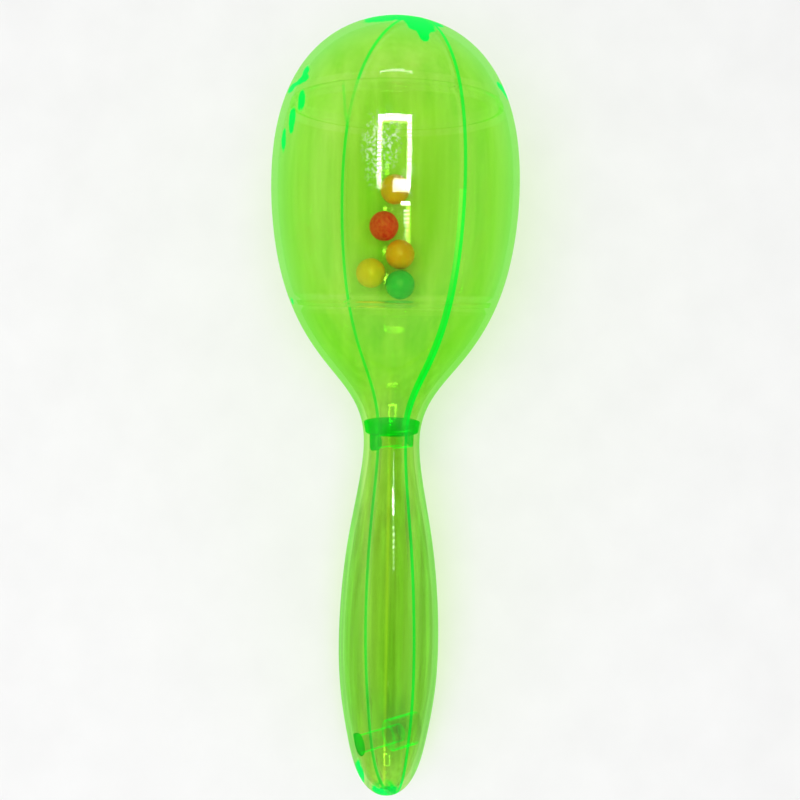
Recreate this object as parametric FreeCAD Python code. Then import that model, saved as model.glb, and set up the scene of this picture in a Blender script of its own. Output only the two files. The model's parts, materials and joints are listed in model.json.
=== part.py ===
import FreeCAD, Part
import math
import os

os.makedirs("parts", exist_ok=True)

# A toy maraca of clear plastic, in millimetres.
#
# Each piece is first modelled in the maraca's own frame. The axis is X, with the top of the head
# at X = 0 and the end of the handle at X = -length. A "station" is a distance from the top of the
# head, measured along the axis. The two half shells meet in the plane Z = 0 of that frame.
#
# The finished pieces are turned about the axis, tilted so that the head and the handle both rest
# on Z = 0, and moved so that the origin is below the middle of the maraca.

# Driving dimensions
OUTLINE = [
    # control points of the outline: station, radius
    (0.0, 0.0),
    (0.0, 5.5),
    (3.5, 19.0),
    (24.0, 31.5),
    (61.5, 30.0),
    (82.0, 18.5),
    (96.0, 3.5),
    (127.5, 12.0),
    (162.0, 14.0),
    (180.5, 11.5),
    (200.0, 7.5),
    (200.0, 0.0),
]
OUTLINE_DEGREE = 3
INSET_SAMPLES = 60
LENGTH = OUTLINE[-1][0]
NECK_STATION = 104.0
WALL = 1.5
SEAM_WIDTH = 0.9
FIT_GAP = 0.1

PARTING_TURN = -60.0            # degrees about the axis, from flat to the position of rest
GREATEST_TILT = math.radians(20.0)

# Round walls across the inside: (first station, second station)
DISCS = {
    "dome_disc": (19.3, 20.3),
    "floor_disc": (66.75, 67.75),
    "neck_bulkhead": (97.3, 100.0),
}
HELD_IN_LEDGES = ("dome_disc", "floor_disc")
LEDGE_DEPTH = 1.3               # how far a disc's two ledges stand in from the wall
LEDGE_LENGTH = 1.6              # how far each runs along the wall

# Alignment pins on the front half, and their sockets on the back half
NECK_PIN = {"station": 102.2, "pin": 3.2, "base": 4.4, "base_height": 1.8, "socket": 4.4, "reach": 2.6}
GRIP_PIN = {"station": 184.0, "pin": 4.6, "base": 6.0, "base_height": 1.0, "socket": 8.3, "reach": 4.5}
PIN_CLEARANCE = 0.1             # radial, in the socket
SOCKET_DEPTH = 1.0              # past the tip of the pin

# Beads: (station, sideways offset towards +Y)
BEAD_RADIUS = 4.1
BEAD_GAP = 0.2
BEADS = {
    "bead_amber": (36.4, 0.4),
    "bead_red": (46.4, 3.3),
    "bead_orange": (54.1, -1.3),
    "bead_yellow": (59.4, 6.7),
    "bead_green": (62.45, -1.45),
}

OVERSIZE = 50.0                 # more than the largest radius, for cutting tools
AXIS = FreeCAD.Vector(1, 0, 0)
SIDEWAYS = FreeCAD.Vector(0, 1, 0)
UP = FreeCAD.Vector(0, 0, 1)
NOWHERE = FreeCAD.Vector(0, 0, 0)


def outer_curve():
    """Return the outline as a smooth curve that leaves the axis squarely at both ends."""
    points = [FreeCAD.Vector(-station, 0, radius) for station, radius in OUTLINE]
    spans = len(OUTLINE) - OUTLINE_DEGREE
    repeats = [OUTLINE_DEGREE + 1] + [1] * (spans - 1) + [OUTLINE_DEGREE + 1]
    curve = Part.BSplineCurve()
    curve.buildFromPolesMultsKnots(points, repeats, list(range(spans + 1)), False, OUTLINE_DEGREE)
    return curve


def meridian(inset):
    """Return the edge from the top of the head to the handle's end, inset from the outer surface."""
    curve = outer_curve()
    if inset:
        points = []
        for sample in range(INSET_SAMPLES + 1):
            parameter = curve.LastParameter * sample / INSET_SAMPLES
            along = curve.tangent(parameter)[0]
            points.append(curve.value(parameter) + FreeCAD.Vector(-along.z, 0, along.x) * inset)
        curve = Part.BSplineCurve()
        curve.interpolate(Points=points, InitialTangent=UP, FinalTangent=-UP)
    return curve.toShape()


def flat_outline(inset):
    """Return the face inside the outline, on both sides of the axis."""
    upper = meridian(inset)
    lower = upper.mirror(NOWHERE, UP)
    return Part.Face(Part.Wire([upper, lower]))


def radius_at(station, inset):
    """Return the radius at a station of the surface that lies inset below the outer one."""
    probe = Part.makeLine(FreeCAD.Vector(-station, 0, 0), FreeCAD.Vector(-station, 0, OVERSIZE))
    nearest_pairs = meridian(inset).distToShape(probe)[1]
    return nearest_pairs[0][0].z


def turned_solid(inset):
    """Return the solid of revolution that lies inset below the outer surface."""
    edge = meridian(inset)
    first, last = edge.Vertexes[0].Point, edge.Vertexes[-1].Point
    face = Part.Face(Part.Wire([edge, Part.makeLine(last, first)]))
    return solid_of(face.revolve(NOWHERE, AXIS, 360))


def solid_of(shape):
    """Return the one solid that a shape holds."""
    if len(shape.Solids) != 1:
        raise ValueError(f"expected one solid, found {len(shape.Solids)}")
    return shape.Solids[0]


def ring(corners):
    """Turn a flat outline of (station, radius) corners about the axis."""
    points = [FreeCAD.Vector(-station, 0, radius) for station, radius in corners]
    face = Part.Face(Part.makePolygon(points + points[:1]))
    return face.revolve(NOWHERE, AXIS, 360)


def disc(stations):
    """Make a round wall across the inside, its rim following the shell with a small gap."""
    first, last = stations
    first_radius = radius_at(first, WALL) - FIT_GAP
    last_radius = radius_at(last, WALL) - FIT_GAP
    return solid_of(ring([(first, 0), (first, first_radius), (last, last_radius), (last, 0)]))


def ledge(station, direction):
    """Make the ring that holds one face of a disc, from a station in a direction (+1 or -1)."""
    inner = radius_at(station, WALL) - LEDGE_DEPTH
    outer = radius_at(station, 0)
    slope_end = station + direction * LEDGE_LENGTH
    slope_radius = radius_at(slope_end, WALL)
    return ring([(station, inner), (station, outer), (slope_end, outer), (slope_end, slope_radius)])


def rod(station, diameter, low, high):
    """Make a cylinder that stands across the axis at a station, between two heights."""
    return Part.makeCylinder(diameter / 2, high - low, FreeCAD.Vector(-station, 0, low), UP)


def front_pin(pin, anchor):
    """Make an alignment pin with its wider base, rooted in the front half's wall."""
    inside = radius_at(pin["station"], WALL)
    shaft = rod(pin["station"], pin["pin"], -pin["reach"], OVERSIZE)
    base = rod(pin["station"], pin["base"], inside - pin["base_height"], OVERSIZE)
    return shaft.fuse(base).common(anchor)


def back_socket(pin, anchor):
    """Make the socket that takes an alignment pin, rooted in the back half's wall."""
    mouth = -SEAM_WIDTH / 2
    bore_diameter = pin["pin"] + 2 * PIN_CLEARANCE
    tube = rod(pin["station"], pin["socket"], -OVERSIZE, mouth)
    bore = rod(pin["station"], bore_diameter, -pin["reach"] - SOCKET_DEPTH, mouth)
    return tube.common(anchor).cut(bore)


def make_shells():
    """Return the front half and the back half, a seam's width apart."""
    outside = turned_solid(0)
    cavity = turned_solid(WALL)
    anchor = turned_solid(WALL / 2)
    shell = outside.cut(cavity)
    for name in HELD_IN_LEDGES:
        for station, direction in zip(DISCS[name], (-1, 1)):
            shell = shell.fuse(ledge(station, direction).common(anchor))

    corner = FreeCAD.Vector(-LENGTH - OVERSIZE, -OVERSIZE, SEAM_WIDTH / 2)
    above = Part.makeBox(LENGTH + 2 * OVERSIZE, 2 * OVERSIZE, OVERSIZE, corner)
    front = shell.common(above)
    back = shell.common(above.mirror(NOWHERE, UP))
    for pin in (NECK_PIN, GRIP_PIN):
        front = front.fuse(front_pin(pin, anchor))
        back = back.fuse(back_socket(pin, anchor))
    return solid_of(front), solid_of(back)


def make_seam():
    """Return the strip of weld that fills the joint all round, in the parting plane."""
    rim = flat_outline(0).cut(flat_outline(WALL)).Faces[0]
    strip = solid_of(rim.extrude(SIDEWAYS * SEAM_WIDTH))
    strip.translate(SIDEWAYS * (-SEAM_WIDTH / 2))
    strip.rotate(NOWHERE, AXIS, 90)
    return strip


def outline_samples():
    """Return many (X, radius) points of the outer surface."""
    return [(point.x, point.z) for point in meridian(0).discretize(4000)]


def resting_tilt(samples):
    """Return the angle at which the head and the handle both touch a flat surface."""
    def lowest(points, tilt):
        return min(x * math.sin(tilt) - radius * math.cos(tilt) for x, radius in points)

    head = [point for point in samples if point[0] > -NECK_STATION]
    handle = [point for point in samples if point[0] <= -NECK_STATION]
    low, high = 0.0, GREATEST_TILT
    for _ in range(50):
        middle = (low + high) / 2
        if lowest(head, middle) < lowest(handle, middle):
            low = middle
        else:
            high = middle
    return low


def resting_placement():
    """Return the placement that lays the maraca on Z = 0 with the origin below its middle."""
    samples = outline_samples()
    tilt = resting_tilt(samples)
    both_sides = samples + [(x, -radius) for x, radius in samples]
    along = [x * math.cos(tilt) - z * math.sin(tilt) for x, z in both_sides]
    height = [x * math.sin(tilt) + z * math.cos(tilt) for x, z in both_sides]
    shift = FreeCAD.Vector(-(min(along) + max(along)) / 2, 0, -min(height))
    return FreeCAD.Placement(shift, FreeCAD.Rotation(SIDEWAYS, -math.degrees(tilt)))


def bead_centre(station, sideways):
    """Return a bead's centre on the low side of the chamber, just clear of the wall."""
    reach = radius_at(station, WALL + BEAD_GAP + BEAD_RADIUS)
    return FreeCAD.Vector(-station, sideways, -math.sqrt(reach ** 2 - sideways ** 2))


def bead_travel(station, sideways):
    """Return how far a bead can fly straight across the chamber before it meets the other wall."""
    return -2 * bead_centre(station, sideways).z


def make_pieces():
    """Return every piece by name, lying in its position of rest."""
    resting = resting_placement()
    parting = FreeCAD.Placement(NOWHERE, FreeCAD.Rotation(AXIS, PARTING_TURN))
    front, back = make_shells()
    pieces = {"half_shell_front": front, "half_shell_back": back, "weld_seam": make_seam()}
    for shape in pieces.values():
        shape.Placement = resting.multiply(parting).multiply(shape.Placement)
    for name, stations in DISCS.items():
        pieces[name] = disc(stations)
        pieces[name].Placement = resting
    for name, (station, sideways) in BEADS.items():
        centre = resting.multVec(bead_centre(station, sideways))
        pieces[name] = Part.makeSphere(BEAD_RADIUS, centre)
    return pieces


for piece_name, piece in make_pieces().items():
    piece.exportStep(f"parts/{piece_name}.step")
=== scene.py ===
import json
import math
import random

import bmesh
import bpy
from mathutils import Matrix, Vector, noise


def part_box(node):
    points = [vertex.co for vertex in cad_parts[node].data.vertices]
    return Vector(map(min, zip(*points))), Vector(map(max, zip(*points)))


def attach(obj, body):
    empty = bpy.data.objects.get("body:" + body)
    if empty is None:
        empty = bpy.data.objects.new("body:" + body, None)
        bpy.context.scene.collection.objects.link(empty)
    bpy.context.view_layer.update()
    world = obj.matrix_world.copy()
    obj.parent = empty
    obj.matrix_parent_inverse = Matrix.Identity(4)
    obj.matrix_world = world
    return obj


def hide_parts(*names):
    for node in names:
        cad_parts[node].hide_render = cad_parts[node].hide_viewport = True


# A toy maraca of clear neon-green plastic, lying on a pale floor.
#
# The maraca has its own frame, as in the CAD model: X is its axis, with the top of the head at
# X = 0 and the handle's end at X = -200, and Z is across the axis, away from the floor. A
# station is a distance from the top of the head along the axis. Lengths in this script are in
# millimetres, unless a comment says otherwise.

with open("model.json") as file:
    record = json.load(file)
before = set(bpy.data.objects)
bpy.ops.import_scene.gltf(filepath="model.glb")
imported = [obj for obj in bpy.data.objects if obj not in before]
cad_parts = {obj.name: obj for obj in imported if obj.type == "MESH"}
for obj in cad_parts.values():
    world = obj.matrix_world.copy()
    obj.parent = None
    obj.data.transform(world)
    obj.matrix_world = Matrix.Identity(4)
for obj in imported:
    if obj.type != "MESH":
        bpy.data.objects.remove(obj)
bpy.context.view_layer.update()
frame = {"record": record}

MM = 0.001
BODY = "body"

OUTLINE = [
    # the CAD model's control points of the outline: station, radius
    (0.0, 0.0),
    (0.0, 5.5),
    (3.5, 19.0),
    (24.0, 31.5),
    (61.5, 30.0),
    (82.0, 18.5),
    (96.0, 3.5),
    (127.5, 12.0),
    (162.0, 14.0),
    (180.5, 11.5),
    (200.0, 7.5),
    (200.0, 0.0),
]
OUTLINE_DEGREE = 3
WALL = 1.5
SEAM_WIDTH = 0.9
PARTING_TURN = math.radians(-60.0)
GRIP_STATION = 157.0
LEDGE_DEPTH = 1.3
LEDGE_LENGTH = 1.6
DISCS = {"dome_disc": (19.3, 20.3), "floor_disc": (66.75, 67.75)}
BEAD_RADIUS = 4.1

# Alignment pins: station, then diameters and heights as in the CAD model
NECK_PIN = {"station": 102.2, "pin": 3.2, "base": 4.4, "base_height": 1.8, "socket": 4.4, "reach": 2.6}
GRIP_PIN = {"station": 184.0, "pin": 4.6, "base": 6.0, "base_height": 1.0, "socket": 8.3, "reach": 4.5}
PIN_CLEARANCE = 0.1
SOCKET_DEPTH = 1.0


def maraca_frame():
    """Return the matrix from the maraca's own frame to the row frame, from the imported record."""
    grip = next(m for m in frame["record"]["mounts"] if m["name"] == "hand_grip")
    axis = Vector(grip["axis"]).normalized()
    side = Vector((0, 1, 0))
    across = axis.cross(side).normalized()
    turn = Matrix((axis, side, across)).transposed().to_4x4()
    head_top = Vector(grip["pos_m"]) + axis * GRIP_STATION * MM
    return Matrix.Translation(head_top) @ turn


LYING = maraca_frame()
MOULD = LYING @ Matrix.Rotation(PARTING_TURN, 4, "X")


# ---------------------------------------------------------------- outline

ROWS = 360                      # along the outline, from the top of the head to the handle's end
NUDGE = 1e-4                    # of the parameter, to find the outline's direction
TINY = 1e-9                     # keeps a division, or a parameter, clear of its limit


def basis(index, degree, parameter, knots):
    """Return one B-spline basis function's value."""
    if degree == 0:
        return 1.0 if knots[index] <= parameter < knots[index + 1] else 0.0
    total = 0.0
    span = knots[index + degree] - knots[index]
    if span > 0:
        total += (parameter - knots[index]) / span * basis(index, degree - 1, parameter, knots)
    span = knots[index + degree + 1] - knots[index + 1]
    if span > 0:
        rest = knots[index + degree + 1] - parameter
        total += rest / span * basis(index + 1, degree - 1, parameter, knots)
    return total


def outline_points(count):
    """Return count + 1 (station, radius) points of the outline, with the inward normal at each."""
    spans = len(OUTLINE) - OUTLINE_DEGREE
    knots = [0] * OUTLINE_DEGREE + list(range(spans + 1)) + [spans] * OUTLINE_DEGREE

    def place(parameter):
        weights = [basis(i, OUTLINE_DEGREE, parameter, knots) for i in range(len(OUTLINE))]
        station = sum(w * point[0] for w, point in zip(weights, OUTLINE))
        radius = sum(w * point[1] for w, point in zip(weights, OUTLINE))
        return Vector((station, radius))

    last = spans - TINY
    points = []
    for step in range(count + 1):
        parameter = min(spans * step / count, last)
        before = place(max(parameter - NUDGE, 0))
        after = place(min(parameter + NUDGE, last))
        along = (after - before).normalized()
        points.append((place(parameter), Vector((along.y, -along.x))))
    return points


PROFILE = outline_points(ROWS)


def radius_at(station, inset):
    """Return the radius at a station of the surface that lies inset below the outer one."""
    points = [point + normal * inset for point, normal in PROFILE]
    for first, second in zip(points, points[1:]):
        if first.x <= station <= second.x:
            share = (station - first.x) / max(second.x - first.x, TINY)
            return first.y + (second.y - first.y) * share
    return 0.0


def wall_at(station):
    """Return the outer and inner points of the wall whose inner point lies at a station."""
    pairs = [(point, point + normal * WALL) for point, normal in PROFILE]
    for (outer, inner), (next_outer, next_inner) in zip(pairs, pairs[1:]):
        if inner.x <= station <= next_inner.x:
            share = (station - inner.x) / max(next_inner.x - inner.x, TINY)
            return outer.lerp(next_outer, share), inner.lerp(next_inner, share)
    raise ValueError(f"the wall has no inner point at station {station}")


# ---------------------------------------------------------------- mesh helpers

SHARP_ANGLE = math.radians(35)
SAME_PLACE = 1e-5               # points closer than this become one


def finish_mesh(name, mesh, matrix):
    """Make a smooth-shaded object of a bmesh that is drawn in millimetres in the given frame."""
    bmesh.ops.remove_doubles(mesh, verts=mesh.verts, dist=SAME_PLACE)
    bmesh.ops.recalc_face_normals(mesh, faces=mesh.faces)
    for face in mesh.faces:
        face.smooth = True
    for edge in mesh.edges:
        if len(edge.link_faces) == 2 and edge.calc_face_angle() > SHARP_ANGLE:
            edge.smooth = False
    mesh.transform(matrix @ Matrix.Scale(MM, 4))
    data = bpy.data.meshes.new(name)
    mesh.to_mesh(data)
    mesh.free()
    piece = bpy.data.objects.new(name, data)
    bpy.context.scene.collection.objects.link(piece)
    return piece


def add_grid(mesh, rows, closed):
    """Add quads between rows of points. A closed grid joins the end of each row to its start."""
    grid = [[mesh.verts.new(point) for point in row] for row in rows]
    width = len(rows[0])
    steps = width if closed else width - 1
    for near, far in zip(grid, grid[1:]):
        for i in range(steps):
            following = (i + 1) % width
            mesh.faces.new((near[i], near[following], far[following], far[i]))
    return grid


def circle(station, radius, segments):
    """Return a circle of points about the axis."""
    angles = (2 * math.pi * i / segments for i in range(segments))
    return [Vector((-station, radius * math.cos(a), radius * math.sin(a))) for a in angles]


# ---------------------------------------------------------------- shells and their seam

ARC_SEGMENTS = 112
SEAM_GAP = 0.015                # air between the weld and each half, which makes the joint show
POLE_ROOM = 1.2                 # rows nearer the axis than this many half gaps are left out
LEDGE_ROUNDING = 0.35
LEDGE_SLACK = 0.04              # between a disc and each of its ledges
LEDGE_OUTLINE = [
    # distance from the disc along the wall, height above the wall
    (LEDGE_LENGTH, 0),
    (1.5 * LEDGE_ROUNDING, LEDGE_DEPTH - LEDGE_ROUNDING),
    (0.9 * LEDGE_ROUNDING, LEDGE_DEPTH - 0.05),
    (0.4 * LEDGE_ROUNDING, LEDGE_DEPTH),
    (0.05, LEDGE_DEPTH - 0.1),
    (0, LEDGE_DEPTH - LEDGE_ROUNDING),
    (0, 0),
]
# The shell's materials
OUTER_LOOK, INNER_LOOK, RIM_LOOK, LEDGE_LOOK, SOLID_LOOK, POST_LOOK = range(6)


def wall_rows(half_gap):
    """Return (outer, inner, on a ledge) along the wall, with the ledges that hold the discs."""
    rows = [(point, point + normal * WALL, False) for point, normal in PROFILE]
    for first, last in DISCS.values():
        before = [row for row in rows if row[1].x < first - LEDGE_LENGTH - LEDGE_SLACK]
        after = [row for row in rows if row[1].x > last + LEDGE_LENGTH + LEDGE_SLACK]
        steps = [(first - LEDGE_SLACK - back, height) for back, height in LEDGE_OUTLINE]
        steps += [(last + LEDGE_SLACK + back, height) for back, height in reversed(LEDGE_OUTLINE)]
        ledges = []
        for station, height in steps:
            outer, inner = wall_at(station)
            ledges.append((outer, inner - Vector((0, height)), True))
        rows = before + ledges + after
    ends = [(Vector((outer.x, half_gap)), Vector((inner.x, half_gap)), False)
            for outer, inner, _ in (rows[0], rows[-1])]
    return ends[:1] + [row for row in rows if row[1].y > POLE_ROOM * half_gap] + ends[1:]


def half_shell_mesh(mesh, side):
    """Draw one half of the shell. side is +1 for the front half and -1 for the back half."""
    half_gap = SEAM_WIDTH / 2 + SEAM_GAP

    def arc(point):
        at_pole = point.y < POLE_ROOM * half_gap
        edge = math.pi / 2 if at_pole else math.asin(half_gap / point.y)
        angles = (edge + (math.pi - 2 * edge) * i / ARC_SEGMENTS for i in range(ARC_SEGMENTS + 1))
        return [Vector((-point.x, point.y * math.cos(a), side * point.y * math.sin(a))) for a in angles]

    rows = wall_rows(half_gap)
    outer = add_grid(mesh, [arc(outer) for outer, _, _ in rows], closed=False)
    for face in mesh.faces:
        face.material_index = OUTER_LOOK
    inner = [[mesh.verts.new(point) for point in arc(inner)] for _, inner, _ in rows]
    for i in range(len(rows) - 1):
        on_ledge = rows[i][2] and rows[i + 1][2]
        for j in range(ARC_SEGMENTS):
            face = mesh.faces.new((inner[i][j], inner[i][j + 1], inner[i + 1][j + 1], inner[i + 1][j]))
            face.material_index = LEDGE_LOOK if on_ledge else INNER_LOOK
    for end in (0, -1):
        for i in range(len(rows) - 1):
            corners = (outer[i][end], outer[i + 1][end], inner[i + 1][end], inner[i][end])
            mesh.faces.new(corners).material_index = RIM_LOOK


POST_SEGMENTS = 64
ON_WALL = None


def post_mesh(mesh, station, side, rings):
    """Draw a closed post that stands across the axis. rings are (radius, height, look) in order.

    A height of ON_WALL puts the ring on the inside of the wall. A ring's look is that of the faces
    between it and the next ring."""
    def place(radius, height, i):
        angle = 2 * math.pi * i / POST_SEGMENTS
        x = -station + radius * math.cos(angle)
        y = radius * math.sin(angle)
        if height is ON_WALL:
            height = math.sqrt(radius_at(-x, WALL) ** 2 - y ** 2)
        return Vector((x, y, side * height))

    rows = [[place(radius, height, i) for i in range(POST_SEGMENTS)] for radius, height, _ in rings]
    first_new = len(mesh.faces)
    add_grid(mesh, rows, closed=True)
    mesh.faces.ensure_lookup_table()
    for i, face in enumerate(mesh.faces[first_new:]):
        face.material_index = rings[i // POST_SEGMENTS][2]


PIN_CHAMFER = 0.3
FILLET = 0.35
FILLET_SAG = 0.3 * FILLET       # how far in from its corner the middle of a fillet lies
BEVEL_SHARE = 0.4               # of a socket's wall, at most, that its bevel takes


def pin_rings(pin, foot_look):
    """Return the rings of an alignment pin with its wider base."""
    foot = radius_at(pin["station"], WALL) - pin["base_height"]
    shaft, base = pin["pin"] / 2, pin["base"] / 2
    foot_rings = [(0, ON_WALL), (base * 0.5, ON_WALL), (base, ON_WALL),
                  (base, foot + FILLET), (base - FILLET_SAG, foot + FILLET_SAG)]
    tip = -pin["reach"]
    shaft_rings = [(base - FILLET, foot), (shaft, foot - FILLET_SAG), (shaft, tip + PIN_CHAMFER),
                   (shaft - PIN_CHAMFER, tip), (0, tip)]
    return [(*ring, foot_look) for ring in foot_rings] + [(*ring, POST_LOOK) for ring in shaft_rings]


def socket_rings(pin, foot_look):
    """Return the rings of the socket that takes an alignment pin."""
    mouth = SEAM_WIDTH / 2 + SEAM_GAP
    bore, outside = pin["pin"] / 2 + PIN_CLEARANCE, pin["socket"] / 2
    bottom = pin["reach"] + SOCKET_DEPTH
    bevel = min(FILLET, (outside - bore) * BEVEL_SHARE)
    foot_rings = [(0, ON_WALL), (outside * 0.5, ON_WALL)]
    side_rings = [(outside, ON_WALL), (outside, mouth + bevel), (outside - bevel, mouth)]
    bore_rings = [(bore, mouth), (bore, bottom), (0, bottom)]
    return ([(*ring, foot_look) for ring in foot_rings] + [(*ring, POST_LOOK) for ring in side_rings]
            + [(*ring, RIM_LOOK) for ring in bore_rings])


def make_half_shell(name, side, ring_maker, grip_foot_look):
    """Make one half shell with its pins or its sockets."""
    mesh = bmesh.new()
    half_shell_mesh(mesh, side)
    for pin, foot_look in ((NECK_PIN, SOLID_LOOK), (GRIP_PIN, grip_foot_look)):
        post_mesh(mesh, pin["station"], side, ring_maker(pin, foot_look))
    return finish_mesh(name, mesh, MOULD)


SEAM_PROUD = 0.02               # how far the weld stands out of the joint
WELD_LOOK, CLEAR_LOOK, FILLED_LOOK = range(3)    # the seam's materials
FILLED_WELD = (42.0, 97.3)      # where the weld filled one side of the joint down to the inside
WELD_FADE = (42.0, 70.0)        # over which the filling comes in


def make_seam():
    """Make the weld: a strip as deep as the wall, slightly rounded outside, all round the joint."""
    half = SEAM_WIDTH / 2
    section = [
        (WALL, -half), (WALL, half), (0, half), (-0.6 * SEAM_PROUD, 0.7 * half), (-SEAM_PROUD, 0.25 * half),
        (-SEAM_PROUD, -0.25 * half), (-0.6 * SEAM_PROUD, -0.7 * half), (0, -half),
    ]
    route = [(point, normal, 1) for point, normal in PROFILE]
    route += [(point, normal, -1) for point, normal in reversed(PROFILE[1:-1])]
    rows = []
    for point, normal, side in route:
        row = []
        for inset, z in section:
            place = point + normal * inset
            row.append(Vector((-place.x, side * place.y, z)))
        rows.append(row)
    mesh = bmesh.new()
    add_grid(mesh, rows + rows[:1], closed=True)
    outside = range(2, len(section) - 1)
    for i, face in enumerate(mesh.faces):
        middle = face.calc_center_median()
        if i % len(section) in outside:
            face.material_index = WELD_LOOK
        elif middle.y < 0 and FILLED_WELD[0] < -middle.x < FILLED_WELD[1]:
            face.material_index = FILLED_LOOK
        else:
            face.material_index = CLEAR_LOOK
    return finish_mesh("weld_seam_bead", mesh, MOULD)


# ---------------------------------------------------------------- discs

DISC_SEGMENTS = 160
RIM_BEVEL = 0.12
FIT_GAP = 0.1
NECK_BULKHEAD = (97.3, 100.0)
BULKHEAD_INSET = 0.5            # the neck wall is moulded into the shell


def make_disc(name, stations, inset):
    """Make a round wall across the inside, its bevelled rim inset below the outer surface."""
    first, last = stations
    first_radius = radius_at(first, inset)
    last_radius = radius_at(last, inset)
    corners = [
        (first, 0), (first, first_radius * 0.5), (first, first_radius - RIM_BEVEL),
        (first + RIM_BEVEL, first_radius), (last - RIM_BEVEL, last_radius),
        (last, last_radius - RIM_BEVEL), (last, last_radius * 0.5), (last, 0),
    ]
    mesh = bmesh.new()
    add_grid(mesh, [circle(station, radius, DISC_SEGMENTS) for station, radius in corners], closed=True)
    return finish_mesh(name, mesh, LYING)


# ---------------------------------------------------------------- beads

BEAD_SUBDIVISIONS = 5
BEAD_ALLOWANCE = 0.04           # room under the CAD bead's surface for the lumps and the mould line
LUMP_OCTAVES = 4
LUMP_FADE = 1.0                 # how quickly the lumps get lower from one octave to the next
LUMP_STEP = 2.0                 # how much finer they get
LUMP_SHIFT = 50.0               # how far from each other in the noise two beads may be
PARTING_RIDGE = 0.03            # height of the mould line round each bead
PARTING_HALF_WIDTH = 0.08
GATE_RADIUS = 0.55
GATE_DEPTH = 0.10


def make_bead(node, lumps, lump_size, seed):
    """Make a moulded bead where the CAD bead lies: nearly round, with a mould line and a gate mark.

    lumps is the height of its unevenness, and lump_size is how many lumps a radius holds."""
    low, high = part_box(node)
    centre = (low + high) / 2
    chance = random.Random(seed)
    pole = Vector([chance.gauss(0, 1) for _ in range(3)]).normalized()
    gate = pole.orthogonal().normalized()
    shift = Vector([chance.uniform(0, LUMP_SHIFT) for _ in range(3)])
    mesh = bmesh.new()
    bmesh.ops.create_icosphere(mesh, subdivisions=BEAD_SUBDIVISIONS, radius=1)
    for vertex in mesh.verts:
        way = vertex.co.normalized()
        height = BEAD_RADIUS - BEAD_ALLOWANCE
        height += lumps * noise.fractal(way * lump_size + shift, LUMP_FADE, LUMP_STEP, LUMP_OCTAVES)
        from_line = abs(way.dot(pole)) * BEAD_RADIUS
        height += PARTING_RIDGE * math.exp(-((from_line / PARTING_HALF_WIDTH) ** 2))
        from_gate = (way - gate).length * BEAD_RADIUS
        height -= GATE_DEPTH * math.exp(-((from_gate / GATE_RADIUS) ** 4))
        vertex.co = way * height
    return finish_mesh(node.replace("bead_", "") + "_bead", mesh, Matrix.Translation(centre))


# ---------------------------------------------------------------- node trees

MIX_SOCKETS = (0, 6, 7)         # the Mix node's inputs for colours: share, first, second
MIX_RESULT = 2


class Graph:
    """A node tree under construction. A value is a number, a colour or another node's socket."""

    def __init__(self, tree):
        self.nodes = tree.nodes
        self.links = tree.links

    def feed(self, socket, value):
        """Give a socket its value."""
        if isinstance(value, bpy.types.NodeSocket):
            self.links.new(value, socket)
        elif socket.type == "RGBA":
            socket.default_value = (*value, 1)
        else:
            socket.default_value = value

    def add(self, kind, **inputs):
        """Add a node. Each input is named by its socket, with spaces written as underscores."""
        node = self.nodes.new(kind)
        for key, value in inputs.items():
            self.feed(node.inputs[key.replace("_", " ")], value)
        return node

    def math(self, operation, *values):
        """Work out a number from one or two others."""
        node = self.nodes.new("ShaderNodeMath")
        node.operation = operation
        for socket, value in zip(node.inputs, values):
            self.feed(socket, value)
        return node.outputs[0]

    def spread(self, value, low, high, start=0.3, end=0.7):
        """Map a value, which lies between start and end, onto low to high.

        Most noise lies between the start and the end that are used where none is given."""
        node = self.add("ShaderNodeMapRange", Value=value, From_Min=start, From_Max=end,
                        To_Min=low, To_Max=high)
        return node.outputs["Result"]

    def blend(self, share, first, second, kind="MIX"):
        """Blend two colours by a share."""
        node = self.nodes.new("ShaderNodeMix")
        node.data_type = "RGBA"
        node.blend_type = kind
        for i, value in zip(MIX_SOCKETS, (share, first, second)):
            self.feed(node.inputs[i], value)
        return node.outputs[MIX_RESULT]


class Look(Graph):
    """A node material under construction."""

    def __init__(self, name):
        self.material = bpy.data.materials.new(name)
        self.material.use_nodes = True
        super().__init__(self.material.node_tree)
        self.nodes.clear()
        self.place = self.add("ShaderNodeTexCoord").outputs["Object"]

    def along_maraca(self, origin, scale):
        """Return the place in the maraca's own directions, from an origin, in units of a scale."""
        mapping = self.add("ShaderNodeMapping", Vector=self.place)
        mapping.vector_type = "TEXTURE"
        mapping.inputs["Location"].default_value = origin
        mapping.inputs["Rotation"].default_value = LYING.to_euler()
        mapping.inputs["Scale"].default_value = scale
        return mapping.outputs["Vector"]

    def noise(self, scale, detail=4.0, stretch=None):
        """Add noise with about scale features for each metre, stretched along the maraca if asked."""
        place = self.along_maraca((0, 0, 0), stretch) if stretch else self.place
        return self.add("ShaderNodeTexNoise", Vector=place, Scale=scale, Detail=detail).outputs["Fac"]

    def choose(self, share, first, second):
        """Mix two shaders by a share."""
        node = self.nodes.new("ShaderNodeMixShader")
        for socket, value in zip(node.inputs, (share, first.outputs[0], second.outputs[0])):
            self.links.new(value, socket)
        return node

    def end(self, shader):
        """Connect the last shader and return the material."""
        output = self.nodes.new("ShaderNodeOutputMaterial")
        self.links.new(shader.outputs[0], output.inputs["Surface"])
        return self.material


# ---------------------------------------------------------------- clear plastic

# The colour of the painted glow: emission in the plastic, which is no lamp
PAINTED_GLOW_COLOUR = (0.0, 1.0, 0.10)
PALE_PAINTED_GLOW = (0.8, 1.0, 0.6)     # the painted glow of the two clear discs
UNTINTED = (1, 1, 1)

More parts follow.
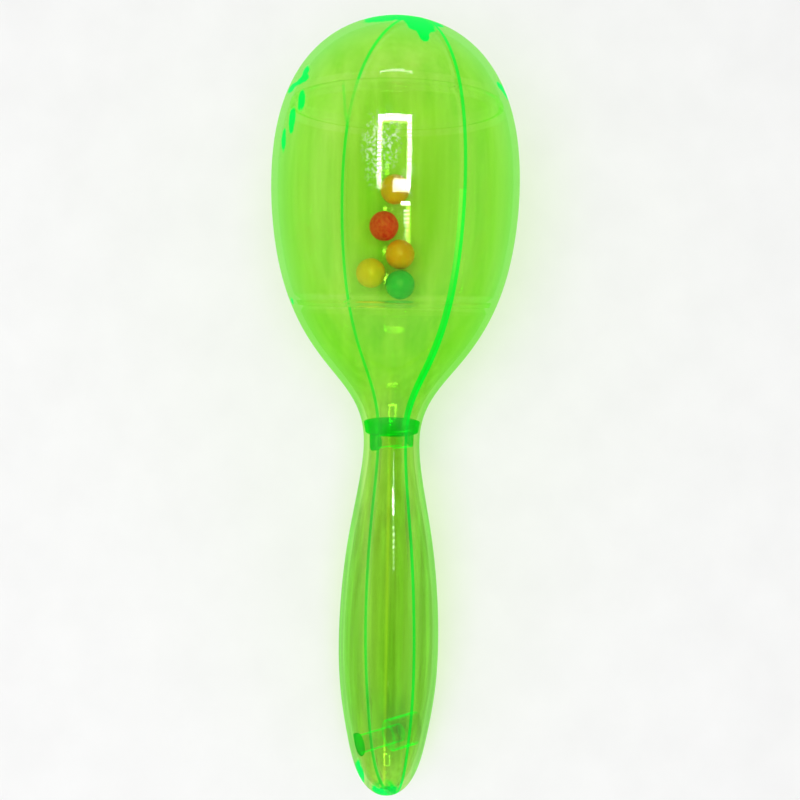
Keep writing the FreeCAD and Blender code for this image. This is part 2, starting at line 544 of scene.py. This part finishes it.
# Noise, by features for each metre
FLOW_SCALE = 150.0
FINE_FLOW_SCALE = 420.0
HAZE_SCALE = 900.0
SMUDGE_SCALE = 420.0
RAGGED_SCALE = 420.0
SCUFF_SCALE = 1500.0
STREAKS = (22.0, 1.0, 1.0)      # how far the coarse flow lines are stretched along the maraca, ...
FINE_STREAKS = (80.0, 1.0, 1.0)     # ... and the fine ones
FLOW_RANGE = (0.40, 0.60)       # the part of the noise that the streaks are made of
FLOW_SHARE = 0.65               # how much of a streak's depth comes from the coarse flow lines
SMUDGE_RANGE = (0.50, 0.64)
# Height of the unevenness and of the scratches, and how much of each shows
FLOW_RELIEF, FLOW_STRENGTH = 0.4 * MM, 0.10
HAZE_RELIEF, HAZE_STRENGTH = 0.05 * MM, 0.02
PLASTIC_ROUGHNESS = (0.0, 0.012)
CLEAN_COAT = 0.01               # roughness of the coat where it isn't smudged

CLEAR_TINT = (0.96, 0.99, 0.90)     # of plastic that has faded to clear
HANDLE_TINT = (0.91, 0.975, 0.93)   # how much less light the handle lets through, ...
HANDLE_DEPTH = (0.84, 0.79, 0.86)   # ... and how much less its streaks do
CONE_TINT = (0.905, 0.980, 0.68)    # how much less light the head lets through below the beads
# In metres along the row frame's X: where the handle's and the cone's tints go out
HANDLE_FADE = (-0.020, 0.020)
CONE_FADE = (0.024, 0.038)
PAINTED_SIDE_GLOW_RANGE = (0.020, 0.027)    # in metres out to the side: where the painted glow of the ledges comes in
COAT_RANGE = (0.08, 0.42)           # from where a wall faces the viewer to where it turns away

# Places with a painted glow: green emission, and a deeper green, painted into the wall where light that runs
# along the wall would leave it
PAINTED_GLOW_PATCHES = [
    # station, sideways, height above the axis, then the reach in the same three directions
    (0.8, 3.0, 6.0, 2.6, 8.5, 9.0),
    (3.2, -3.8, 14.0, 3.4, 7.4, 6.0),
    (6.0, -5.4, 18.0, 3.2, 4.8, 6.0),
    (9.0, -5.8, 20.5, 2.6, 1.8, 5.0),
    (4.2, -9.5, 14.5, 2.0, 2.2, 5.0),
    (15.5, 20.5, 17.0, 3.4, 1.6, 4.0),
    (17.8, 21.5, 16.5, 1.4, 3.4, 5.0),
    (18.6, 24.2, 12.5, 1.6, 2.6, 5.0),
    (22.5, 20.9, 19.6, 4.0, 1.5, 4.2),
    (26.5, 23.2, 18.4, 4.4, 1.4, 4.2),
    (30.5, 25.4, 16.8, 4.2, 1.2, 4.0),
    (17.2, -24.2, 11.0, 1.6, 2.6, 5.0),
    (18.6, -25.6, 9.0, 1.4, 2.2, 5.0),
    (67.5, 25.0, 10.5, 2.4, 1.6, 5.0),
    (68.5, -25.6, 8.0, 1.8, 1.3, 5.0),
    (194.5, 7.2, 1.0, 7.0, 2.0, 6.0),
    (199.0, 0.5, 1.0, 2.0, 5.0, 6.0),
]
# the deeper green painted into the glow patches, along with their painted glow
PAINTED_GLOW_TINT = (0.0, 0.55, 0.06)
PAINTED_GLOW_EDGE = (0.10, 0.17)
# The scuffed place beside the bright outline on top of the head, in the same form
SCUFFS = [
    (34.5, 4.2, 29.0, 9.5, 3.4, 6.0),
    (33.0, 0.6, 30.0, 7.0, 2.6, 5.0),
]
SCUFF_COLOUR = (0.92, 1.0, 0.78)
SCUFF_DEPTH = 0.50              # the largest share of the surface that scuffs cover
SCUFF_GRAIN_RANGE = (0.47, 0.62)
SCUFF_EDGE = (0.05, 0.75)

# Long lines painted along the handle: painted reflections, darker and paler bands and a bright centre line
PAINTED_REFLECTION_LINES = [
    # place sideways, half width and softness (mm), tint, strength
    (2.6, 1.5, 0.7, (0.60, 0.80, 0.20), 0.55),
    (-5.2, 0.9, 0.9, (0.60, 0.80, 0.24), 0.45),
    (6.4, 0.7, 0.8, (0.86, 0.99, 0.40), 0.40),
    (0.55, 0.25, 0.25, (0.92, 1.0, 0.20), 0.80),
]


def in_places(look, places):
    """Return how far inside some ellipsoids a point is: each adds one at its own centre."""
    total = 0.0
    for station, sideways, height, *reach in places:
        centre = LYING @ (Vector((-station, sideways, height)) * MM)
        ball = look.add("ShaderNodeTexGradient", Vector=look.along_maraca(centre, Vector(reach) * MM))
        ball.gradient_type = "SPHERICAL"
        total = look.math("ADD", total, ball.outputs["Fac"])
    return total


def painted_glow_patches(look):
    """Return the strength of the painted glow in all the patches, with ragged edges."""
    depth = look.math("MULTIPLY", in_places(look, PAINTED_GLOW_PATCHES), look.noise(RAGGED_SCALE))
    return look.spread(depth, 0.0, 1.0, *PAINTED_GLOW_EDGE)


def scuff_marks(look):
    """Return the strength of the scuffs, which are fine and ragged."""
    fine = look.spread(look.noise(SCUFF_SCALE, detail=6.0), 0.0, 1.0, *SCUFF_GRAIN_RANGE)
    depth = look.math("MULTIPLY", in_places(look, SCUFFS), fine)
    return look.spread(depth, 0.0, SCUFF_DEPTH, *SCUFF_EDGE)


def painted_reflection_lines(look, sideways, in_handle, colour):
    """Draw the handle's long painted reflections, as lines of colour, over a colour."""
    for place, half_width, softness, tint, amount in PAINTED_REFLECTION_LINES:
        distance = look.math("ABSOLUTE", look.math("SUBTRACT", sideways, place * MM))
        near = look.spread(distance, amount, 0.0, half_width * MM, (half_width + softness) * MM)
        colour = look.blend(look.math("MULTIPLY", near, in_handle), colour, tint)
    return colour


def streaked_colour(look, flow, grazing, in_handle, along, tint, deep_tint, edge_tint):
    """Return what the dye lets through: streaks, deeper at a grazing angle and below the beads."""
    fine_flow = look.noise(FINE_FLOW_SCALE, detail=2.0, stretch=FINE_STREAKS)
    coarse_share = look.spread(flow, 0.0, FLOW_SHARE, *FLOW_RANGE)
    fine_share = look.spread(fine_flow, 0.0, 1.0 - FLOW_SHARE, *FLOW_RANGE)
    streaks = look.blend(look.math("ADD", coarse_share, fine_share), tint, deep_tint)
    fine_depth = look.spread(fine_flow, 0.0, 1.0, *FLOW_RANGE)
    handle_streaks = look.blend(fine_depth, HANDLE_TINT, HANDLE_DEPTH)
    in_cone = look.spread(along, 1.0, 0.0, *CONE_FADE)
    darker = look.blend(in_handle, look.blend(in_cone, UNTINTED, CONE_TINT), handle_streaks)
    return look.blend(1.0, look.blend(grazing, streaks, edge_tint), darker, kind="MULTIPLY")


def clear_plastic(name, tint, deep_tint, edge_tint, shadow, glow=0.0, painted_rim_glow=0.0, painted_side_glow=0.0,
                  patches=0.0, coat=0.0, grazing_coat=0.0, coat_ior=1.5, edge_range=(0.22, 0.72),
                  smudged=0.11, tilt=0.0, fade=None, painted_glow_colour=PAINTED_GLOW_COLOUR, scuffed=False):
    """Make clear dyed plastic, with flow streaks, fine scratches and a painted glow at the edges.

    tint and deep_tint are the streaks' two colours, and edge_tint is the colour at a grazing angle,
    where the way through the wall is long. The walls are thin, so light goes straight on through
    them, and the coat is what mirrors. shadow is the colour of the light that the piece lets past.
    glow, painted_rim_glow, painted_side_glow and patches are painted glow, emission that stands in for light
    which
    runs along the wall and leaves it: glow is everywhere, painted_rim_glow at a grazing angle,
    painted_side_glow at the maraca's two sides, and patches in the glow patches, which also get a deeper
    painted green and, in the handle, painted reflections. painted_glow_colour is the colour of the painted
    glow. tilt is the slope, upwards from the floor, by which the piece is not quite flat where the coat
    mirrors.
    fade is a pair of stations over which the plastic changes from quite clear to its own colours.
    scuffed adds the scuffs on top of the head."""
    look = Look(name)
    split = look.add("ShaderNodeSeparateXYZ", Vector=look.place)
    along, sideways, height = (split.outputs[axis] for axis in "XYZ")
    flow = look.noise(FLOW_SCALE, detail=3.0, stretch=STREAKS)
    haze = look.noise(HAZE_SCALE, detail=6.0)
    smudges = look.noise(SMUDGE_SCALE, detail=6.0)
    facing = look.add("ShaderNodeLayerWeight", Blend=0.5).outputs["Facing"]
    grazing = look.spread(facing, 0.0, 1.0, *edge_range)
    in_handle = look.spread(along, 1.0, 0.0, *HANDLE_FADE)

    colour = streaked_colour(look, flow, grazing, in_handle, along, tint, deep_tint, edge_tint)
    # painted glow: the plastic's emission, stronger at a grazing angle
    strength = look.spread(grazing, glow, glow + painted_rim_glow, start=0.0, end=1.0)
    if fade:
        ends = [(LYING @ (Vector((-station, 0, 0)) * MM)).x for station in fade]
        colour = look.blend(look.spread(along, 0.0, 1.0, *ends), CLEAR_TINT, colour)
    # painted glow at the maraca's two sides
    if painted_side_glow:
        painted_glow_at_sides = look.spread(look.math("ABSOLUTE", sideways), 0.0, painted_side_glow, *PAINTED_SIDE_GLOW_RANGE)
        strength = look.math("ADD", strength, painted_glow_at_sides)
    # painted glow: in the patches the plastic emits light and turns deeper green, though it is no lamp
    if patches:
        painted_glow_share = painted_glow_patches(look)
        # the handle's painted reflections go under the painted glow patches
        colour = look.blend(painted_glow_share, painted_reflection_lines(look, sideways, in_handle, colour), PAINTED_GLOW_TINT)
        strength = look.math("ADD", strength, look.math("MULTIPLY", painted_glow_share, patches))

    relief = look.add("ShaderNodeBump", Height=flow, Strength=FLOW_STRENGTH, Distance=FLOW_RELIEF)
    scratches = look.add("ShaderNodeBump", Height=haze, Strength=HAZE_STRENGTH, Distance=HAZE_RELIEF,
                         Normal=relief.outputs["Normal"])
    mirror = scratches
    if tilt:
        mirror = look.add("ShaderNodeBump", Height=height, Strength=1.0, Distance=tilt)
        mirror.invert = True
    shader = look.add(
        "ShaderNodeBsdfPrincipled", Base_Color=colour, Roughness=look.spread(haze, *PLASTIC_ROUGHNESS),
        IOR=1.0, Transmission_Weight=1.0, Normal=scratches.outputs["Normal"],
        Coat_Weight=look.spread(facing, coat, grazing_coat, *COAT_RANGE), Coat_IOR=coat_ior,
        Coat_Roughness=look.spread(smudges, CLEAN_COAT, smudged, *SMUDGE_RANGE),
        Coat_Normal=mirror.outputs["Normal"],
        Emission_Color=painted_glow_colour, Emission_Strength=strength,
    )
    if scuffed:
        shader = look.choose(scuff_marks(look), shader, look.add("ShaderNodeBsdfDiffuse", Color=SCUFF_COLOUR))
    light_through = look.add("ShaderNodeBsdfTransparent", Color=shadow)
    path = look.add("ShaderNodeLightPath")
    for kind_of_ray in ("Is Shadow Ray", "Is Diffuse Ray"):
        shader = look.choose(path.outputs[kind_of_ray], shader, light_through)
    look.material.cycles.emission_sampling = "NONE"
    return look.end(shader)


# ---------------------------------------------------------------- bead plastic

BEAD_GRAIN_SCALE = 2600.0       # features for each metre
BEAD_GRAIN = 0.1 * MM
BEAD_GLOW_DEPTH = 2 * MM        # how deep light goes into a bead
BEAD_POLISH, BEAD_WEAR = 0.08, 0.12     # how much smoother and rougher its patches are


def bead_plastic(name, colour, dark, patch_scale, contrast, roughness):
    """Make the mottled, slightly worn plastic of a bead."""
    look = Look(name)
    patches = look.noise(patch_scale, detail=5.0)
    shade = look.blend(look.spread(patches, 0.0, contrast), colour, dark)
    grain = look.noise(BEAD_GRAIN_SCALE)
    bump = look.add("ShaderNodeBump", Height=grain, Strength=0.25, Distance=BEAD_GRAIN)
    body = look.add(
        "ShaderNodeBsdfPrincipled", Base_Color=shade, Normal=bump.outputs["Normal"],
        Roughness=look.spread(patches, roughness - BEAD_POLISH, roughness + BEAD_WEAR), IOR=1.5,
        Specular_IOR_Level=0.35, Subsurface_Weight=0.15, Subsurface_Scale=BEAD_GLOW_DEPTH,
    )
    return look.end(body)


# ---------------------------------------------------------------- the object

def dress(piece, materials, body, node):
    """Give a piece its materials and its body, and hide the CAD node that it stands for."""
    for material in materials:
        piece.data.materials.append(material)
    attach(piece, body)
    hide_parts(node)


# glow, painted_rim_glow, painted_side_glow and patches in these materials are painted glow: the plastic emits
# light though it is no lamp
OUTER_PLASTIC = clear_plastic(
    "clear_green_plastic", tint=(0.81, 0.975, 0.41), deep_tint=(0.51, 0.86, 0.14),
    edge_tint=(0.35, 0.87, 0.18), shadow=(0.87, 0.975, 0.70), painted_rim_glow=0.02, patches=0.36,
    coat=1.0, grazing_coat=0.10, edge_range=(0.14, 0.68), scuffed=True)
INNER_PLASTIC = clear_plastic(
    "inside_green_plastic", tint=(0.74, 0.965, 0.34), deep_tint=(0.58, 0.89, 0.20),
    edge_tint=(0.88, 0.98, 0.74), shadow=(0.87, 0.975, 0.70), coat=1.0, grazing_coat=0.08,
    edge_range=(0.42, 0.92))
POST_PLASTIC = clear_plastic(
    "post_green_plastic", tint=(0.97, 0.995, 0.92), deep_tint=(0.96, 0.99, 0.88),
    edge_tint=(0.22, 0.92, 0.30), shadow=(0.80, 0.97, 0.60), glow=0.02, painted_rim_glow=0.30, coat=0.3,
    edge_range=(0.42, 0.66))
RIM_PLASTIC = clear_plastic(
    "rim_green_plastic", tint=(0.94, 0.99, 0.85), deep_tint=(0.92, 0.985, 0.82),
    edge_tint=(0.90, 0.98, 0.80), shadow=(0.96, 0.99, 0.92))
LEDGE_PLASTIC = clear_plastic(
    "ledge_green_plastic", tint=(0.84, 0.96, 0.56), deep_tint=(0.80, 0.95, 0.50),
    edge_tint=(0.78, 0.96, 0.56), shadow=(0.90, 0.98, 0.80), painted_side_glow=0.05)
DOME_DISC_PLASTIC, FLOOR_DISC_PLASTIC = [
    clear_plastic(
        name + "_plastic", tint=(0.94, 0.99, 0.84), deep_tint=(0.90, 0.98, 0.78),
        edge_tint=(0.90, 0.98, 0.74), shadow=(0.94, 0.99, 0.86), glow=0.02, painted_rim_glow=0.01, coat=1.0,
        grazing_coat=1.0, coat_ior=coat_ior, smudged=0.012, tilt=tilt, painted_glow_colour=PALE_PAINTED_GLOW)
    for name, coat_ior, tilt in (("dome_disc", 1.5, 0.0), ("floor_disc", 2.2, 0.09))]
SOLID_PLASTIC = clear_plastic(
    "solid_green_plastic", tint=(0.005, 0.86, 0.02), deep_tint=(0.005, 0.80, 0.02),
    edge_tint=(0.005, 0.80, 0.02), shadow=(0.55, 0.95, 0.40), glow=0.02, painted_rim_glow=0.03)
WELD_PLASTIC = clear_plastic(
    "seam_green_plastic", tint=(0.010, 0.88, 0.12), deep_tint=(0.006, 0.84, 0.08),
    edge_tint=(0.006, 0.84, 0.08), shadow=(0.70, 0.97, 0.50), glow=0.14, painted_rim_glow=0.10, coat=0.5)
FILLED_PLASTIC = clear_plastic(
    "filled_seam_green_plastic", tint=(0.010, 0.92, 0.12), deep_tint=(0.006, 0.88, 0.08),
    edge_tint=(0.006, 0.88, 0.08), shadow=(0.70, 0.97, 0.50), glow=0.10, painted_rim_glow=0.06, fade=WELD_FADE)
SHELL_PLASTICS = [OUTER_PLASTIC, INNER_PLASTIC, RIM_PLASTIC, LEDGE_PLASTIC, SOLID_PLASTIC, POST_PLASTIC]
SEAM_PLASTICS = [WELD_PLASTIC, RIM_PLASTIC, FILLED_PLASTIC]

for shell_name, node_name, side, ring_maker, grip_foot_look in (
        ("front_half_shell", "half_shell_front", 1, pin_rings, SOLID_LOOK),
        ("back_half_shell", "half_shell_back", -1, socket_rings, RIM_LOOK)):
    shell = make_half_shell(shell_name, side, ring_maker, grip_foot_look)
    dress(shell, SHELL_PLASTICS, BODY, node_name)

dress(make_seam(), SEAM_PLASTICS, BODY, "weld_seam")
for node_name, plastic in (("dome_disc", DOME_DISC_PLASTIC), ("floor_disc", FLOOR_DISC_PLASTIC)):
    plate = make_disc(node_name + "_plate", DISCS[node_name], WALL + FIT_GAP)
    dress(plate, [plastic], BODY, node_name)

neck_wall = make_disc("neck_wall", NECK_BULKHEAD, BULKHEAD_INSET)
dress(neck_wall, [SOLID_PLASTIC], BODY, "neck_bulkhead")

BEAD_LOOKS = {
    # colour, darker colour, patches for each metre, contrast, roughness, lumps (mm), lumps for each radius
    "bead_amber": ((1.0, 0.46, 0.010), (0.80, 0.30, 0.005), 260.0, 0.7, 0.30, 0.020, 1.5),
    "bead_red": ((0.90, 0.008, 0.006), (1.0, 0.12, 0.050), 1100.0, 0.9, 0.50, 0.045, 3.5),
    "bead_orange": ((1.0, 0.42, 0.004), (0.92, 0.30, 0.003), 240.0, 0.7, 0.28, 0.020, 1.5),
    "bead_yellow": ((1.0, 0.62, 0.004), (0.94, 0.52, 0.003), 240.0, 0.6, 0.38, 0.020, 1.5),
    "bead_green": ((0.05, 0.60, 0.20), (0.03, 0.42, 0.16), 260.0, 0.7, 0.32, 0.020, 1.5),
}
for seed, (bead, look_values) in enumerate(BEAD_LOOKS.items()):
    bright, dark, patch_scale, contrast, roughness, lumps, lump_size = look_values
    material = bead_plastic(bead + "_plastic", bright, dark, patch_scale, contrast, roughness)
    dress(make_bead(bead, lumps, lump_size, seed), [material], bead, bead)


# ---------------------------------------------------------------- camera

CAMERA_STATION = 90.76          # straight above this place on the maraca
CAMERA_SIDEWAYS = -1.98
CAMERA_HEIGHT = 227.6           # above the floor
CAMERA_ROLL = math.radians(0.98)
CAMERA_LENS = 35.9              # focal length, with a sensor of this width:
CAMERA_SENSOR = 36.0
CAMERA_NEAR = 10.0              # nothing nearer than this is seen


def make_camera():
    """Make the camera, which looks straight down with the head at the top of the picture."""
    data = bpy.data.cameras.new("camera")
    data.sensor_width = CAMERA_SENSOR
    data.lens = CAMERA_LENS
    data.clip_start = CAMERA_NEAR * MM
    camera = bpy.data.objects.new("camera", data)
    bpy.context.scene.collection.objects.link(camera)
    head_top = LYING.translation.x
    camera.location = (head_top - CAMERA_STATION * MM, CAMERA_SIDEWAYS * MM, CAMERA_HEIGHT * MM)
    right = Vector((math.sin(CAMERA_ROLL), -math.cos(CAMERA_ROLL), 0))
    up = Vector((math.cos(CAMERA_ROLL), math.sin(CAMERA_ROLL), 0))
    camera.rotation_euler = Matrix((right, up, right.cross(up))).transposed().to_euler()
    bpy.context.scene.camera = camera
    return camera


CAMERA = make_camera()


# ---------------------------------------------------------------- lights and floor

def area_light(name, centre, normal, along, width, height, watts, shows):
    """Make a rectangular light that faces along its normal. along is the direction of its width.

    A light that shows is seen in the plastic and lights nothing else. The others are the reverse."""
    data = bpy.data.lights.new(name, "AREA")
    data.shape = "RECTANGLE"
    data.size, data.size_y = width, height
    data.energy = watts
    light = bpy.data.objects.new(name, data)
    bpy.context.scene.collection.objects.link(light)
    z = -normal.normalized()
    x = (along - along.project(z)).normalized()
    light.matrix_world = Matrix.Translation(centre) @ Matrix((x, z.cross(x), z)).transposed().to_4x4()
    light.visible_glossy = shows
    light.visible_transmission = shows
    light.visible_diffuse = not shows
    light.visible_camera = False
    return light


LAMP_DISTANCE = 0.6             # in metres, from the shell


def lamp_point(station, sideways):
    """Return the point that the camera sees reflected in the top of the shell at a place."""
    point, normal = min(PROFILE, key=lambda pair: abs(pair[0].x - station))
    height = math.sqrt(point.y ** 2 - sideways ** 2)
    place = LYING @ (Vector((-point.x, sideways, height)) * MM)
    outward = Vector((normal.x, -normal.y * sideways / point.y, -normal.y * height / point.y))
    outward = (LYING.to_3x3() @ outward).normalized()
    sight = (place - CAMERA.location).normalized()
    return place + sight.reflect(outward) * LAMP_DISTANCE, place


# Thin lamps that show as a bright rectangular outline on top of the head
LAMP_FRAME = [
    # name, first place, last place (station, sideways), thickness as seen on the shell, brightness
    ("lamp_top", (28.0, 3.5), (28.0, -3.3), 1.7, 1.0),
    ("lamp_left", (27.2, 3.1), (42.8, 3.1), 0.95, 1.0),
    ("lamp_right", (27.2, -3.0), (43.0, -3.0), 0.90, 1.0),
    ("lamp_bottom", (42.2, 0.2), (42.2, -3.4), 2.0, 1.0),
    ("lamp_dome", (18.4, 3.4), (18.4, -3.5), 0.35, 0.60),
    ("lamp_low", (45.3, -2.4), (46.4, -2.4), 1.90, 2.40),
    ("lamp_lower", (46.8, -2.7), (50.0, -2.7), 1.20, 0.30),
    ("lamp_lowest", (50.0, -2.7), (53.5, -2.7), 1.00, 0.12),
]
LAMP_BRIGHTNESS = 22.0          # in watts for each square metre and unit of solid angle
DIODE_SPACING = 0.016           # in metres, between the diodes of a lamp
DIODE_CONTRAST = 0.85


def show_diodes(data, length):
    """Break a lamp's light into a row of soft spots."""
    data.use_nodes = True
    graph = Graph(data.node_tree)
    place = graph.add("ShaderNodeNewGeometry").outputs["Parametric"]
    along = graph.add("ShaderNodeSeparateXYZ", Vector=place).outputs["X"]
    turns = 2 * math.pi * round(length / DIODE_SPACING)
    wave = graph.math("SINE", graph.math("MULTIPLY", along, turns))
    strength = graph.spread(wave, 1.0 - DIODE_CONTRAST, 1.0 + DIODE_CONTRAST, start=-1.0, end=1.0)
    graph.feed(graph.nodes["Emission"].inputs["Strength"], strength)


def strip_light(name, start, end, thickness, brightness):
    """Make a thin lamp that shows in the shell from one place to another (station, sideways)."""
    first, place = lamp_point(*start)
    last, _ = lamp_point(*end)
    across = (0, thickness) if start[0] != end[0] else (thickness, 0)
    beside, _ = lamp_point(start[0] + across[0], start[1] + across[1])
    along = last - first
    width = (beside - first).length
    watts = brightness * LAMP_BRIGHTNESS * math.pi * along.length * width
    centre = (first + last) / 2
    light = area_light(name, centre, place - centre, along, along.length, width, watts, shows=True)
    show_diodes(light.data, along.length)


FLOOR_HALF_WIDTH = 6.0          # in metres
FLOOR_SQUARES = 40
FLOOR_GRAIN_SCALE = 60.0
FLOOR_COLOURS = ((0.90, 0.90, 0.90), (0.87, 0.87, 0.87))


def make_floor():
    """Make the pale floor, a wide sheet with a faint grain."""
    mesh = bmesh.new()
    bmesh.ops.create_grid(mesh, x_segments=FLOOR_SQUARES, y_segments=FLOOR_SQUARES, size=FLOOR_HALF_WIDTH)
    data = bpy.data.meshes.new("floor")
    mesh.to_mesh(data)
    mesh.free()
    floor = bpy.data.objects.new("floor", data)
    bpy.context.scene.collection.objects.link(floor)
    look = Look("pale_floor")
    grain = look.noise(FLOOR_GRAIN_SCALE, detail=5.0)
    shade = look.blend(look.spread(grain, 0.0, 1.0), *FLOOR_COLOURS)
    data.materials.append(look.end(look.add("ShaderNodeBsdfPrincipled", Base_Color=shade, Roughness=0.8)))


OVERHEAD_PLACE = Vector((-0.1, 0.1, 1.1))   # in metres, as is the width
OVERHEAD_WIDTH = 1.2
OVERHEAD_WATTS = 12.0

make_floor()
for strip in LAMP_FRAME:
    strip_light(*strip)
area_light("soft_overhead", OVERHEAD_PLACE, -OVERHEAD_PLACE, Vector((0, 1, 0)),
           OVERHEAD_WIDTH, OVERHEAD_WIDTH, OVERHEAD_WATTS, shows=False)

WORLD_COLOUR = (1, 1, 1)
LOW_SKY, HIGH_SKY = 0.80, 0.06      # brightness
SKY_RANGE = (0.35, 0.90)            # how steeply up the brightness changes, as the sine of the angle


def make_world():
    """Make the studio's surroundings: white at eye level and dim overhead."""
    world = bpy.data.worlds.new("studio")
    world.use_nodes = True
    graph = Graph(world.node_tree)
    direction = graph.add("ShaderNodeTexCoord").outputs["Generated"]
    upwards = graph.add("ShaderNodeSeparateXYZ", Vector=direction).outputs["Z"]
    brightness = graph.spread(upwards, LOW_SKY, HIGH_SKY, *SKY_RANGE)
    brightness.node.interpolation_type = "SMOOTHSTEP"
    background = graph.nodes["Background"]
    graph.feed(background.inputs["Strength"], brightness)
    graph.feed(background.inputs["Color"], WORLD_COLOUR)
    bpy.context.scene.world = world


make_world()
bpy.context.scene.view_settings.view_transform = "Standard"
